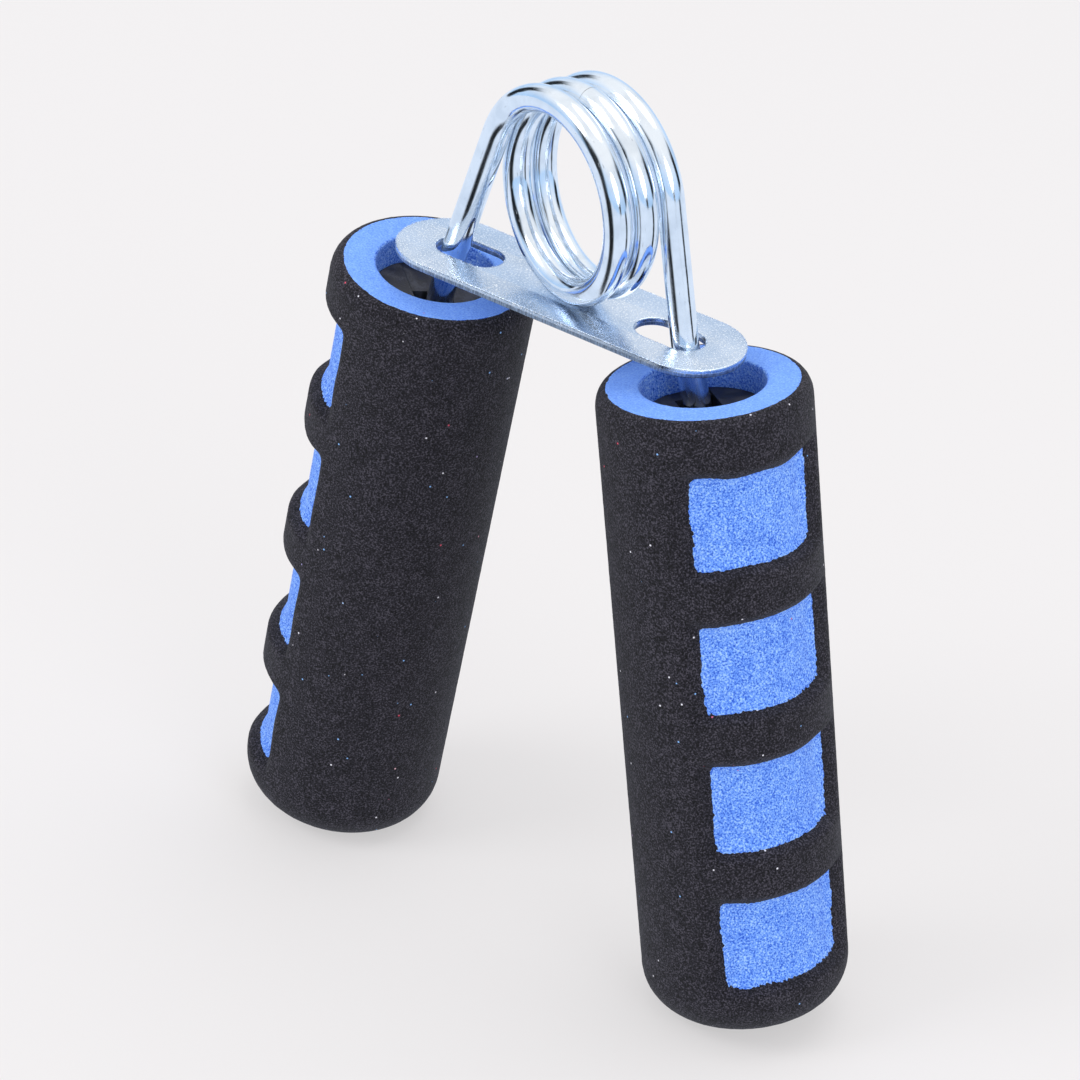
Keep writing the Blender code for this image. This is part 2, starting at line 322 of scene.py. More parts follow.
@dataclass(frozen=True)
class FoamFinish:
    """Fine closed-cell foam: matt, mottled and pitted, with a few specks of pale, blue or red dust.

    cut_share is how much a level face, cut rather than ground, loses of the grain.
    """

    name: str
    deep: Colour
    middle: Colour
    light: Colour
    speck: Colour
    cell: float = 0.30 * MM
    patch: float = 2.6 * MM
    relief: float = 0.10 * MM
    blue_speck: Colour = (0.25, 0.5, 0.95)
    red_speck: Colour = (0.75, 0.08, 0.14)
    speck_spacing: float = 1.3 * MM
    speck_share: float = 0.07
    sheen: float = 0.04
    cut_share: float = 0.0

    def material(self) -> Material:
        """Build the foam's material on Object coordinates."""
        material, nodes, shader = new_material(self.name)
        place = nodes.add("ShaderNodeTexCoord").outputs["Object"]
        cells = nodes.noise(place, self.cell, 3.0, 0.6)
        grains = nodes.add("ShaderNodeTexVoronoi", {"Vector": place, "Scale": 1 / (self.cell * 1.2)})
        patches = nodes.noise(place, self.patch, 3.0, 0.55)
        tone = nodes.maths("MULTIPLY_ADD", patches, 0.14, nodes.maths("MULTIPLY", cells, 0.93))
        low = nodes.mix(nodes.spread(tone, 0.40, 0.54, 0, 1), self.deep, self.middle)
        colour = nodes.mix(nodes.spread(tone, 0.54, 0.68, 0, 1), low, self.light)
        dust = nodes.add("ShaderNodeTexVoronoi", {"Vector": place, "Scale": 1 / self.speck_spacing})
        near = nodes.spread(dust.outputs["Distance"], 0.09, 0.16, 1, 0)
        picked = nodes.add("ShaderNodeSeparateColor", {0: dust.outputs["Color"]})
        chosen = nodes.maths("LESS_THAN", picked.outputs[0], self.speck_share)
        tint = nodes.mix(nodes.spread(picked.outputs[2], 0.5, 0.6, 0, 1), self.speck, self.blue_speck)
        tint = nodes.mix(nodes.spread(picked.outputs[1], 0.8, 0.9, 0, 1), tint, self.red_speck)
        colour = nodes.mix(nodes.maths("MULTIPLY", near, chosen), colour, tint)
        upward = nodes.add("ShaderNodeSeparateXYZ", {0: nodes.add("ShaderNodeNewGeometry").outputs["Normal"]})
        cut = nodes.spread(upward.outputs["Z"], 0.80, 0.90, 0, self.cut_share)
        colour = nodes.mix(cut, colour, nodes.mix(0.2, self.middle, self.light))
        rough = nodes.spread(cells, 0.3, 0.7, 0.98, 0.82)
        height = nodes.maths("MULTIPLY_ADD", grains.outputs["Distance"], -0.6, cells)
        feed(nodes, shader, colour, rough, height, self.relief, 1.0)
        shader.inputs["Specular IOR Level"].default_value = 0.25
        shader.inputs["Sheen Weight"].default_value = self.sheen
        shader.inputs["Sheen Roughness"].default_value = 0.6
        return material


@dataclass(frozen=True)
class WireFinish:
    """Bright zinc on drawn wire: mirror-like, with faint streaks along it and thin dark marks that are partly
    scratches, partly painted dark reflection.
    """

    name: str = "bright_zinc_wire"
    zinc: Colour = (0.84, 0.90, 0.97)
    dull: Colour = (0.50, 0.58, 0.68)
    # colour of the thin dark marks: partly real scratches, partly painted dark reflection
    nick: Colour = (0.06, 0.07, 0.10)
    streak_length: float = 9 * MM
    streaks_around: float = 26.0
    relief: float = 0.012 * MM

    def material(self) -> Material:
        """Build the wire's material on the swept wire's own attributes."""
        material, nodes, shader = new_material(self.name)
        along = nodes.add("ShaderNodeAttribute", attribute_name="along").outputs["Fac"]
        around = nodes.add("ShaderNodeAttribute", attribute_name="around").outputs["Fac"]
        angle = nodes.maths("MULTIPLY", around, TAU)
        ring = self.streaks_around / TAU
        parts = {
            0: nodes.maths("MULTIPLY", nodes.maths("COSINE", angle), ring),
            1: nodes.maths("MULTIPLY", nodes.maths("SINE", angle), ring),
            2: nodes.maths("DIVIDE", along, self.streak_length),
        }
        grain = nodes.add("ShaderNodeCombineXYZ", parts).outputs[0]
        place = nodes.add("ShaderNodeTexCoord").outputs["Object"]
        streaks = nodes.noise(grain, 1.0, 3.0, 0.6)
        clouds = nodes.noise(place, 3.5 * MM, 2.0)
        pits = nodes.noise(place, 0.22 * MM, 1.0)
        # thin dark marks stretched along the wire: partly real scratches, partly painted dark reflection streaks
        scratch_and_reflection_noise = nodes.noise(grain, 0.34, 2.0, 0.7)
        scratch_and_reflection_mask = nodes.spread(scratch_and_reflection_noise, 0.70, 0.76, 0, 1)
        tone = nodes.mix(nodes.spread(clouds, 0.35, 0.75, 0, 0.35), self.zinc, self.dull)
        colour = nodes.mix(scratch_and_reflection_mask, tone, self.nick)
        rough = nodes.maths("MULTIPLY_ADD", scratch_and_reflection_mask, 0.4, nodes.spread(streaks, 0.3, 0.75, 0.07, 0.20))
        height = nodes.maths("MULTIPLY_ADD", pits, 0.25, streaks)
        height = nodes.maths("MULTIPLY_ADD", scratch_and_reflection_mask, -1.5, height)
        feed(nodes, shader, colour, rough, height, self.relief, 0.8)
        shader.inputs["Metallic"].default_value = 1.0
        return material


@dataclass(frozen=True)
class SheetFinish:
    """Zinc-plated sheet: a grainy half mirror on the faces and a sheared band on the edges."""

    middle: Vector
    tilt: float
    thickness: float
    name: str = "grainy_zinc_sheet"
    zinc: Colour = (0.62, 0.71, 0.84)
    dull: Colour = (0.42, 0.52, 0.66)
    torn: Colour = (0.20, 0.24, 0.32)
    spark: Colour = (0.95, 0.97, 1.0)
    grain: float = 0.20 * MM
    relief: float = 0.030 * MM

    def material(self) -> Material:
        """Build the sheet's material on Object coordinates and the surface's own slope."""
        material, nodes, shader = new_material(self.name)
        place = nodes.add("ShaderNodeTexCoord").outputs["Object"]
        slope = nodes.add("ShaderNodeSeparateXYZ", {0: nodes.add("ShaderNodeNewGeometry").outputs["Normal"]})
        centred = nodes.add(
            "ShaderNodeMapping",
            {"Vector": place, "Location": self.middle, "Rotation": (0, self.tilt, 0)},
            vector_type="TEXTURE",
        )
        height_in = nodes.add("ShaderNodeSeparateXYZ", {0: centred.outputs[0]}).outputs["Z"]
        level = nodes.spread(height_in, -self.thickness / 2, self.thickness / 2, 0, 1)
        upright = nodes.spread(nodes.maths("ABSOLUTE", slope.outputs["Z"]), 0.25, 0.6, 1, 0)
        grain = nodes.noise(place, self.grain, 2.0, 0.7)
        sparkle = nodes.spread(nodes.noise(place, 0.24 * MM, 1.0), 0.56, 0.68, 0, 1)
        clouds = nodes.noise(place, 6 * MM, 3.0)
        stretch = nodes.add("ShaderNodeMapping", {"Vector": place, "Scale": (1.0, 1.0, 0.12)})
        tears = nodes.noise(stretch.outputs[0], 0.22 * MM, 2.0, 0.7)
        split = nodes.maths("MULTIPLY_ADD", tears, 0.3, level)
        torn = nodes.maths("MULTIPLY", upright, nodes.spread(split, 0.62, 0.78, 1, 0))
        face = nodes.mix(nodes.spread(clouds, 0.35, 0.7, 0, 0.5), self.zinc, self.dull)
        face = nodes.mix(sparkle, face, self.spark)
        rip = nodes.mix(nodes.spread(tears, 0.35, 0.65, 0, 1), self.torn, self.dull)
        rough = nodes.maths("MULTIPLY_ADD", torn, 0.22, nodes.spread(grain, 0.3, 0.7, 0.16, 0.30))
        height = nodes.maths("MULTIPLY_ADD", nodes.maths("MULTIPLY", tears, torn), 2.0, grain)
        feed(nodes, shader, nodes.mix(torn, face, rip), rough, height, self.relief, 0.8)
        shader.inputs["Metallic"].default_value = 1.0
        return material


@dataclass(frozen=True)
class PlasticFinish:
    """Black moulded plastic with a greyish bloom and a fine spark-eroded texture."""

    name: str = "black_core_plastic"
    black: Colour = (0.012, 0.012, 0.014)
    bloom: Colour = (0.055, 0.057, 0.068)
    relief: float = 0.05 * MM

    def material(self) -> Material:
        """Build the plastic's material on Object coordinates."""
        material, nodes, shader = new_material(self.name)
        place = nodes.add("ShaderNodeTexCoord").outputs["Object"]
        patches = nodes.noise(place, 3.2 * MM, 4.0, 0.6)
        fine = nodes.noise(place, 0.28 * MM, 2.0)
        dusty = nodes.spread(nodes.maths("MULTIPLY_ADD", fine, 0.25, patches), 0.56, 0.80, 0, 1)
        rough = nodes.spread(patches, 0.3, 0.7, 0.38, 0.62)
        feed(nodes, shader, nodes.mix(dusty, self.black, self.bloom), rough, fine, self.relief, 0.7)
        return material


def studio_gaps(nodes: NodeBuilder, bearing: Socket, gaps: Gaps) -> Socket:
    """Darken the surround where dark gaps stand between its soft boxes.

    Args:
        nodes: the tree's builder.
        bearing: socket with the bearing of each direction.
        gaps: bearing of each gap's middle, and its half width.

    Returns:
        A factor that is low in the gaps and 1 elsewhere.
    """
    shade: Any = 1.0
    for middle, half in gaps:
        off = nodes.maths("ABSOLUTE", nodes.maths("SUBTRACT", bearing, middle))
        shade = nodes.maths("MULTIPLY", shade, nodes.spread(off, half * 0.6, half * 1.4, 0.02, 1.0))
    return shade


@dataclass(frozen=True)
class FloorFinish:
    """A plain pale studio floor. Metal reflects it with dark gaps at some bearings from the middle."""

    name: str = "pale_floor"
    colour: Colour = (0.32, 0.312, 0.315)
    glow: float = 0.50
    glow_colour: Colour = (1.0, 0.985, 0.99)
    mirrored: Colour = (0.80, 0.88, 1.0)
    gaps: Gaps = ((-1.72, 0.30), (0.35, 0.12))

    def material(self) -> Material:
        """Build the floor's material."""
        material, nodes, shader = new_material(self.name)
        place = nodes.add("ShaderNodeTexCoord").outputs["Object"]
        rough = nodes.spread(nodes.noise(place, 0.4, 1.0), 0, 1, 0.78, 0.82)
        nodes.tree.links.new(rough, shader.inputs["Roughness"])
        shader.inputs["Base Color"].default_value = (*self.colour, 1.0)
        shader.inputs["Specular IOR Level"].default_value = 0.1
        shader.inputs["Emission Color"].default_value = (*self.glow_colour, 1.0)
        shader.inputs["Emission Strength"].default_value = self.glow
        way = nodes.add("ShaderNodeSeparateXYZ", {0: place})
        bearing = nodes.maths("ARCTAN2", way.outputs["Y"], way.outputs["X"])
        shade = studio_gaps(nodes, bearing, self.gaps)
        mirror = nodes.add("ShaderNodeEmission", {"Color": nodes.mix(1.0, self.mirrored, shade, "MULTIPLY")})
        path = nodes.add("ShaderNodeLightPath")
        parts = {0: path.outputs["Is Glossy Ray"], 1: shader.outputs[0], 2: mirror.outputs[0]}
        surface = nodes.add("ShaderNodeMixShader", parts)
        nodes.tree.links.new(surface.outputs[0], nodes.tree.nodes["Material Output"].inputs["Surface"])
        return material


# ---------------------------------------------------------------- geometry node trees


def input_identifier(tree: Tree, name: str) -> str:
    """Return the identifier of a tree's named input."""
    for item in tree.interface.items_tree:
        if item.item_type == "SOCKET" and item.in_out == "INPUT" and item.name == name:
            return item.identifier
    raise KeyError(name)


def new_geometry_tree(name: str, sockets: dict[str, str]) -> tuple[Tree, NodeBuilder, Node, Node]:
    """Make an empty Geometry Nodes tree.

    Args:
        name: the tree's name.
        sockets: name to socket type of each input after the geometry.

    Returns:
        The tree, its builder, and its input and output nodes.
    """
    tree = bpy.data.node_groups.new(name, "GeometryNodeTree")
    tree.interface.new_socket("Geometry", in_out="INPUT", socket_type="NodeSocketGeometry")
    for title, kind in sockets.items():
        tree.interface.new_socket(title, in_out="INPUT", socket_type=kind)
    tree.interface.new_socket("Geometry", in_out="OUTPUT", socket_type="NodeSocketGeometry")
    builder = NodeBuilder(tree)
    return tree, builder, builder.add("NodeGroupInput"), builder.add("NodeGroupOutput")


def finish_tree(builder: NodeBuilder, entry: Node, leave: Node, geometry: Socket) -> None:
    """End a tree in Realize Instances and Set Material.

    Args:
        builder: the tree's builder.
        entry: the tree's input node, which has a Material input.
        leave: the tree's output node.
        geometry: the geometry to finish.
    """
    real = builder.add("GeometryNodeRealizeInstances", {"Geometry": geometry})
    dressed = builder.add(
        "GeometryNodeSetMaterial",
        {"Geometry": real.outputs[0], "Material": entry.outputs["Material"]},
    )
    builder.tree.links.new(dressed.outputs[0], leave.inputs[0])


def grow(obj: Object, tree: Tree, values: dict[str, Any], name: str) -> Object:
    """Run a tree on an object and keep its result as a plain mesh object.

    Args:
        obj: the starting object, which is removed.
        tree: the Geometry Nodes tree.
        values: the tree's inputs by name.
        name: the finished object's name.

    Returns:
        The finished object, with no modifier left on it.
    """
    modifier = obj.modifiers.new(tree.name, "NODES")
    modifier.node_group = tree
    for title, value in values.items():
        modifier[input_identifier(tree, title)] = value
    graph = bpy.context.evaluated_depsgraph_get()
    mesh = bpy.data.meshes.new_from_object(obj.evaluated_get(graph), depsgraph=graph)
    bpy.data.objects.remove(obj, do_unlink=True)
    mesh.name = name
    return add_object(name, mesh)


def wire_tree() -> Tree:
    """Build the tree that sweeps a round wire along a chain of points.

    Returns:
        A tree with inputs Radius, Sides and Material, whose result carries along and around.
    """
    sockets = {"Radius": "NodeSocketFloat", "Sides": "NodeSocketInt", "Material": "NodeSocketMaterial"}
    tree, nodes, entry, leave = new_geometry_tree("swept_wire", sockets)
    path = nodes.add("GeometryNodeMeshToCurve", {"Mesh": entry.outputs["Geometry"]})
    size = {"Resolution": entry.outputs["Sides"], "Radius": entry.outputs["Radius"]}
    ring = nodes.add("GeometryNodeCurvePrimitiveCircle", size, mode="RADIUS")
    marked = []
    for curve, name, measure in ((path, "along", "Length"), (ring, "around", "Factor")):
        place = nodes.add("GeometryNodeSplineParameter").outputs[measure]
        values = {"Geometry": curve.outputs[0], "Name": name, "Value": place}
        stored = nodes.add("GeometryNodeStoreNamedAttribute", values, data_type="FLOAT", domain="POINT")
        marked.append(stored.outputs[0])
    values = {"Curve": marked[0], "Profile Curve": marked[1], "Fill Caps": True}
    swept = nodes.add("GeometryNodeCurveToMesh", values)
    finish_tree(nodes, entry, leave, swept.outputs[0])
    return tree


def relief_tree() -> Tree:
    """Build the tree that roughens a foam skin along its normals.

    Returns:
        A tree with inputs Grain, Relief, Seed and Material.
    """
    sockets = {
        "Grain": "NodeSocketFloat",
        "Relief": "NodeSocketFloat",
        "Seed": "NodeSocketFloat",
        "Material": "NodeSocketMaterial",
    }
    tree, nodes, entry, leave = new_geometry_tree("foam_relief", sockets)
    scale = nodes.maths("DIVIDE", 1.0, entry.outputs["Grain"])
    noise = nodes.add(
        "ShaderNodeTexNoise",
        {"W": entry.outputs["Seed"], "Scale": scale, "Detail": 2.0, "Roughness": 0.6},
        noise_dimensions="4D",
    )
    height = nodes.maths("SUBTRACT", noise.outputs["Fac"], 0.5)
    push = nodes.maths("MULTIPLY", height, entry.outputs["Relief"])
    normal = nodes.add("GeometryNodeInputNormal")
    offset = nodes.add("ShaderNodeVectorMath", {0: normal.outputs[0], "Scale": push}, operation="SCALE")
    moved = nodes.add(
        "GeometryNodeSetPosition", {"Geometry": entry.outputs["Geometry"], "Offset": offset.outputs[0]}
    )
    finish_tree(nodes, entry, leave, moved.outputs[0])
    return tree


def crumb_tree() -> Tree:
    """Build the tree that strews zinc crumbs along an edge.

    Returns:
        A tree with inputs Spacing, Size, Seed and Material, for a chain of points.
    """
    sockets = {
        "Spacing": "NodeSocketFloat",
        "Size": "NodeSocketFloat",
        "Seed": "NodeSocketInt",
        "Material": "NodeSocketMaterial",
    }
    tree, nodes, entry, leave = new_geometry_tree("edge_crumbs", sockets)
    path = nodes.add("GeometryNodeMeshToCurve", {"Mesh": entry.outputs["Geometry"]})
    values = {"Curve": path.outputs[0], "Length": entry.outputs["Spacing"]}
    points = nodes.add("GeometryNodeCurveToPoints", values, mode="LENGTH")
    seed = entry.outputs["Seed"]
    lump = nodes.add("GeometryNodeMeshIcoSphere", {"Radius": 1.0, "Subdivisions": 1})
    spin, size = (
        nodes.add("FunctionNodeRandomValue", {"Min": low, "Max": high, "Seed": seed}, data_type="FLOAT_VECTOR")
        for low, high in (((0, 0, 0), (TAU, TAU, TAU)), ((0.3, 0.3, 0.2), (1.5, 1.2, 0.8)))
    )
    values = {0: size.outputs[0], "Scale": entry.outputs["Size"]}
    size_in = nodes.add("ShaderNodeVectorMath", values, operation="SCALE")
    strewn = nodes.add(
        "GeometryNodeInstanceOnPoints",
        {
            "Points": points.outputs[0],
            "Instance": lump.outputs[0],
            "Rotation": spin.outputs[0],
            "Scale": size_in.outputs[0],
        },
    )
    finish_tree(nodes, entry, leave, strewn.outputs[0])
    return tree


# ---------------------------------------------------------------- the spring


@dataclass
class Spring:
    """One wire: a skewed coil on the plate whose two ends run down into the handles."""

    centre: Vector
    plate: "Plate"
    handles: dict[Side, "Handle"]
    finish: WireFinish = field(default_factory=WireFinish)
    wire_radius: float = 2.25 * MM
    coil_radius: float = 15.8 * MM
    pitch: float = 5.1 * MM
    whole_turns: int = 2
    skew: float = math.radians(-19.5)
    kink_reach: float = 21.7 * MM
    kink_bend: float = 9 * MM
    wire_offset: float = 3 * MM
    entry_depth: float = 8 * MM
    end_depth: float = 98 * MM
    step: float = 0.6 * MM
    sides: int = 48
    blend_gap: float = 0.2 * MM

    def drop(self, side: Side) -> float:
        """Return how far a kink lies below the coil's centre."""
        tilted = side.value * self.kink_reach * math.tan(self.plate.tilt)
        return self.centre.z - self.plate.middle.z + tilted

    def reach(self, side: Side) -> float:
        """Return how far a kink lies from the coil's centre, square to the coil's axis."""
        return self.kink_reach - side.value * self.centre.x / math.cos(self.skew)

    def lean(self, side: Side) -> float:
        """Return the lean of a straight upper leg, which is tangent to the coil."""
        reach = self.reach(side)
        span = math.hypot(reach, self.drop(side))
        return math.atan2(reach, self.drop(side)) + math.acos(self.coil_radius / span) - math.pi / 2

    @property
    def turns(self) -> float:
        """Return the coil's turns between the two tangent points."""
        return self.whole_turns + 0.5 - (self.lean(Side.LEFT) + self.lean(Side.RIGHT)) / TAU

    @property
    def half_width(self) -> float:
        """Return half the coil's length along its axis, between wire centres."""
        return self.pitch * self.turns / 2

    @property
    def turn_matrix(self) -> Matrix:
        """Return the rotation from the coil's frame to the model's."""
        return Matrix.Rotation(self.skew, 3, "Z")

    def coil_point(self, angle: float, across: float) -> Vector:
        """Return a point of the coil's centre line, at an angle round its axis."""
        flat = Vector((self.coil_radius * math.cos(angle), across, self.coil_radius * math.sin(angle)))
        return self.centre + self.turn_matrix @ flat

    def leg_points(self, side: Side) -> list[Vector]:
        """Return one leg's centre line, from the coil down to its end inside the core."""
        lean = self.lean(side)
        across = side.value * self.half_width
        lead = self.pitch / (TAU * self.coil_radius)
        top = self.coil_point(lean if side is Side.RIGHT else math.pi - lean, across)
        drift = lead * (self.drop(side) + self.coil_radius * math.sin(lean)) / math.cos(lean)
        kink = self.centre + self.turn_matrix @ Vector(
            (side.value * self.reach(side), across + side.value * drift, -self.drop(side))
        )
        offset = -side.value * self.wire_offset
        inside = (offset * math.cos(SEAM_TURN), offset * math.sin(SEAM_TURN))
        handle = self.handles[side]
        entry, end = (handle.matrix @ Vector((*inside, -z)) for z in (self.entry_depth, self.end_depth))
        corners = [top, kink, entry, end]
        path = [top]
        for before, corner, after in zip(corners, corners[1:], corners[2:]):
            path += self.bend(before, corner, after)
        return path + [end]

    def bend(self, before: Vector, corner: Vector, after: Vector, steps: int = 12) -> list[Vector]:
        """Round off one corner of a path.

        Args:
            before: a point on the way in.
            corner: the corner.
            after: a point on the way out.
            steps: how many pieces the bend has.

        Returns:
            The bend's points.
        """
        inward = (before - corner).normalized()
        outward = (after - corner).normalized()
        half_turn = (math.pi - inward.angle(outward)) / 2
        reach = self.kink_bend * math.tan(half_turn)
        middle = corner + (inward + outward).normalized() * self.kink_bend / math.cos(half_turn)
        start = corner + inward * reach - middle
        axis = start.cross(corner + outward * reach - middle)
        return [middle + Matrix.Rotation(2 * half_turn * k / steps, 3, axis) @ start for k in range(steps + 1)]

    def half_path(self, side: Side) -> list[Vector]:
        """Return half the wire's centre line, from the coil's middle to the end of a leg."""
        first = math.pi - self.lean(Side.LEFT)
        last = self.lean(Side.RIGHT) - TAU * self.whole_turns
        if side is Side.LEFT:
            first, last = last, first
        middle = (first + last) / 2
        count = int(abs(last - middle) * self.coil_radius / self.step)
        path = []
        for k in range(count):
            share = k / count
            path.append(self.coil_point(middle + (last - middle) * share, side.value * self.half_width * share))
        return path + self.leg_points(side)

    def build(self, tree: Tree, material: Material) -> list[Object]:
        """Sweep the wire's two halves, each from the coil's middle to the end of its leg in a handle.

        Args:
            tree: the tree that sweeps a wire.
            material: the wire's material.

        Returns:
            The two halves.
        """
        made = []
        axis = self.turn_matrix @ Vector((0, 1, 0))
        for side in Side:
            points = self.half_path(side)
            mesh = bpy.data.meshes.new("path")
            mesh.from_pydata([tuple(p) for p in points], [(k, k + 1) for k in range(len(points) - 1)], [])
            values = {"Radius": self.wire_radius, "Sides": self.sides, "Material": material}
            piece = grow(add_object("path", mesh), tree, values, f"{side.word}_spring_half")
            for polygon in piece.data.polygons:
                polygon.use_smooth = len(polygon.vertices) == 4
            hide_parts("spring_coil", f"{side.word}_spring_leg")
            end = self.centre + axis * side.value * self.half_width
            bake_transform(piece)
            made.append(piece)
            LOG.info("spring: %s half, %d points along it", side.word, len(points))
        return made


# ---------------------------------------------------------------- the bridge plate


@dataclass
class Plate:
    """The slotted sheet-metal plate that the coil stands on."""

    middle: Vector
    tilt: float
    width: float
    length: float = 65.2 * MM
    thickness: float = 1.4 * MM
    slot_inner: float = 13.6 * MM
    slot_outer: float = 26.0 * MM
    slot_width: float = 7.0 * MM
    edge_round: float = 0.22 * MM
    crumb_spacing: float = 0.16 * MM
    crumb_size: float = 0.085 * MM
    crumb_sink: float = 0.05 * MM
    merge: float = 0.002 * MM
    crease: float = math.radians(40)
    end_steps: int = 48

    @property
    def matrix(self) -> Matrix:
        """Return the plate's frame: its origin is the plate's middle, its Z square to the plate."""
        return Matrix.Translation(self.middle) @ Matrix.Rotation(self.tilt, 4, "Y")

    def stadium(self, left: float, right: float, width: float) -> list[Vector]:
        """Return the outline of a strip with round ends, level at height zero."""
        radius = width / 2
        outline = []
        for centre, start in ((right - radius, -math.pi / 2), (left + radius, math.pi / 2)):
            for k in range(self.end_steps + 1):
                angle = start + math.pi * k / self.end_steps
                outline.append(Vector((centre + radius * math.cos(angle), radius * math.sin(angle), 0)))
        return outline

    def outlines(self) -> list[list[Vector]]:
        """Return the outlines of the plate and of its two slots."""
        return [
            self.stadium(-self.length / 2, self.length / 2, self.width),
            self.stadium(self.slot_inner, self.slot_outer, self.slot_width),
            self.stadium(-self.slot_outer, -self.slot_inner, self.slot_width),
        ]

    def build(self, finish: Material, tree: Tree) -> None:
        """Make the plate with rolled edges, and the zinc crumbs on its upper rims.

        Args:
            finish: the plate's material.
            tree: the tree that strews crumbs along an edge.
        """
        curve = bpy.data.curves.new("plate_outline", "CURVE")
        curve.dimensions = "2D"
        curve.fill_mode = "BOTH"
        curve.bevel_depth = self.edge_round
        curve.bevel_resolution = 4
        curve.extrude = self.thickness / 2 - self.edge_round
        curve.offset = -self.edge_round
        for outline in self.outlines():
            spline = curve.splines.new("POLY")
            spline.points.add(len(outline) - 1)
            spline.use_cyclic_u = True
            for point, place in zip(spline.points, outline):
                point.co = (*place, 1)
        source = add_object("plate_outline", curve)
        graph = bpy.context.evaluated_depsgraph_get()
        mesh = bpy.data.meshes.new_from_object(source.evaluated_get(graph))
        bpy.data.objects.remove(source, do_unlink=True)
        bm = bmesh.new()
        bm.from_mesh(mesh)
        bmesh.ops.remove_doubles(bm, verts=bm.verts, dist=self.merge)
        bmesh.ops.transform(bm, matrix=self.matrix, verts=bm.verts)
        bmesh.ops.recalc_face_normals(bm, faces=bm.faces)
        bm.to_mesh(mesh)
        bm.free()
        mesh.materials.clear()
        mesh.materials.append(finish)
        mesh.shade_smooth()
        mesh.set_sharp_from_angle(angle=self.crease)
        plate = add_object("rolled_edge_plate", mesh)
        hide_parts("bridge_plate")
        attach(plate, "root")
        self.strew(finish, tree)
        LOG.info("plate: %d faces", len(mesh.polygons))

    def strew(self, finish: Material, tree: Tree) -> None:
        """Strew crumbs of zinc along the upper rims of the plate and its slots.

        Args:
            finish: the crumbs' material.
            tree: the tree that strews crumbs along an edge.
        """
        points: list[Vector] = []
        edges: list[tuple[int, int]] = []
        rise = Vector((0, 0, self.thickness / 2 - self.crumb_sink))
        for outline in self.outlines():
            start = len(points)
            count = len(outline)
            points += [self.matrix @ (place + rise) for place in outline]
            edges += [(start + k, start + (k + 1) % count) for k in range(count)]
        mesh = bpy.data.meshes.new("rims")
        mesh.from_pydata([tuple(p) for p in points], edges, [])
        values = {"Spacing": self.crumb_spacing, "Size": self.crumb_size, "Seed": 7, "Material": finish}
        crumbs = grow(add_object("rims", mesh), tree, values, "zinc_crumbs")
        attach(crumbs, "root")


# ---------------------------------------------------------------- the handles


